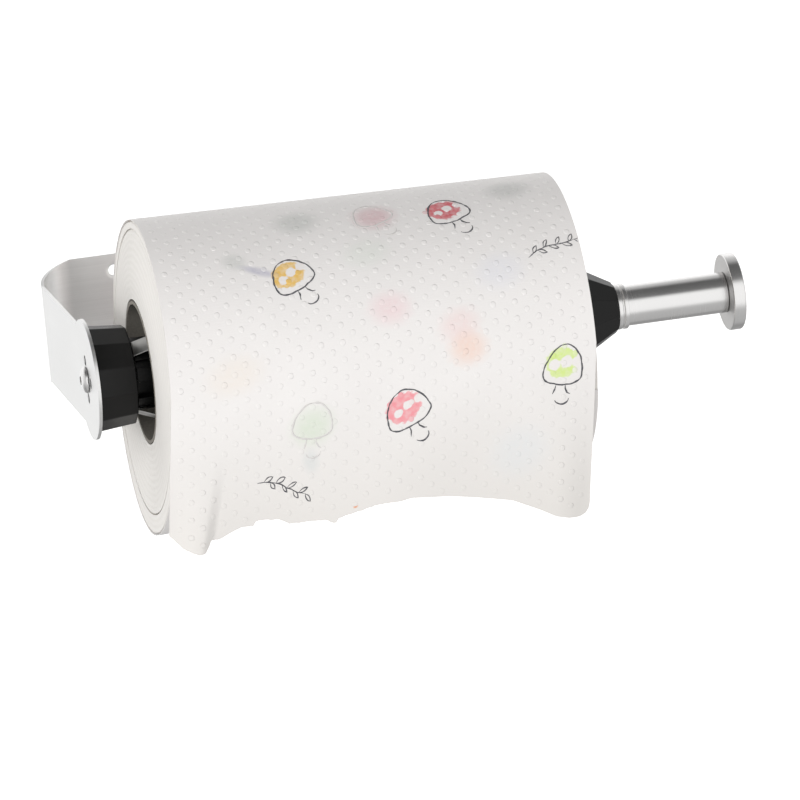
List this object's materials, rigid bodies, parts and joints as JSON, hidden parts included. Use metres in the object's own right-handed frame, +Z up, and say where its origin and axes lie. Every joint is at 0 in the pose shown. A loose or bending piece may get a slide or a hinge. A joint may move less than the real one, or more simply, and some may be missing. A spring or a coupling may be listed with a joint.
{
  "type": "paper towel holder",
  "caption": "Wall-mounted steel arm with a horizontal spindle, a damped grip hub and a sliding guide cone, carrying a roll of paper towel.",
  "frame": {"origin": "on the wall face of the bracket's plate, at the centre of its four screw holes", "axes": "+X along the spindle towards its free end, +Y into the wall, +Z up"},
  "size_m": [0.313, 0.1911, 0.1441],
  "materials": {
    "bracket_steel": "satin",
    "polished_steel": "polished",
    "spring_steel": "satin",
    "black_plastic": "satin",
    "nylon": "satin",
    "friction_fibre": "matte",
    "brass": "satin",
    "rubber": "matte",
    "core_card": "matte",
    "wound_towel": "matte",
    "towel_sheet": "matte"
  },
  "bodies": {
    "bracket": {"wall_bracket": "bracket_steel", "arm_screw": "polished_steel", "damper_stator": "black_plastic", "tube_insert": "brass", "spindle_tube": "polished_steel", "end_plug": "brass", "end_stud": "polished_steel", "end_disc": "polished_steel", "thrust_washer": "nylon", "retaining_ring": "spring_steel"},
    "hub": {"hub_shell": "black_plastic", "hub_bush": "nylon", "friction_washer": "friction_fibre", "wave_washer": "spring_steel", "pressure_plate": "spring_steel", "grip_carrier": "black_plastic", "grip_spring_1": "spring_steel", "grip_spring_2": "spring_steel", "grip_spring_3": "spring_steel", "grip_screw_1": "polished_steel", "grip_screw_2": "polished_steel", "grip_screw_3": "polished_steel"},
    "collar": {"cone_collar": "polished_steel", "cone_nut": "brass", "cone_o_ring": "rubber"},
    "cone": {"guide_cone": "black_plastic"},
    "sheet": {"towel_tail": "towel_sheet"},
    "roll": {"roll_core": "core_card", "towel_roll": "wound_towel"}
  },
  "joints": [
    {"name": "roll_slide", "type": "slide", "parent": "bracket", "child": "sheet", "axis": [1, 0, 0], "range_m": [0, 0.3]},
    {"name": "roll_spin", "type": "hinge", "parent": "sheet", "child": "roll", "pos_m": [-0.063, -0.124, 0], "axis": [1, 0, 0], "continuous": true},
    {"name": "hub_spin", "type": "hinge", "parent": "bracket", "child": "hub", "pos_m": [-0.063, -0.124, 0], "axis": [1, 0, 0], "continuous": true},
    {"name": "collar_slide", "type": "slide", "parent": "bracket", "child": "collar", "axis": [1, 0, 0], "range_m": [0, 0.045]},
    {"name": "cone_spin", "type": "hinge", "parent": "collar", "child": "cone", "pos_m": [-0.063, -0.124, 0], "axis": [1, 0, 0], "continuous": true}
  ],
  "couplings": [
    {"joint": "hub_spin", "follows": "roll_spin", "ratio": 1},
    {"joint": "cone_spin", "follows": "roll_spin", "ratio": 1}
  ]
}
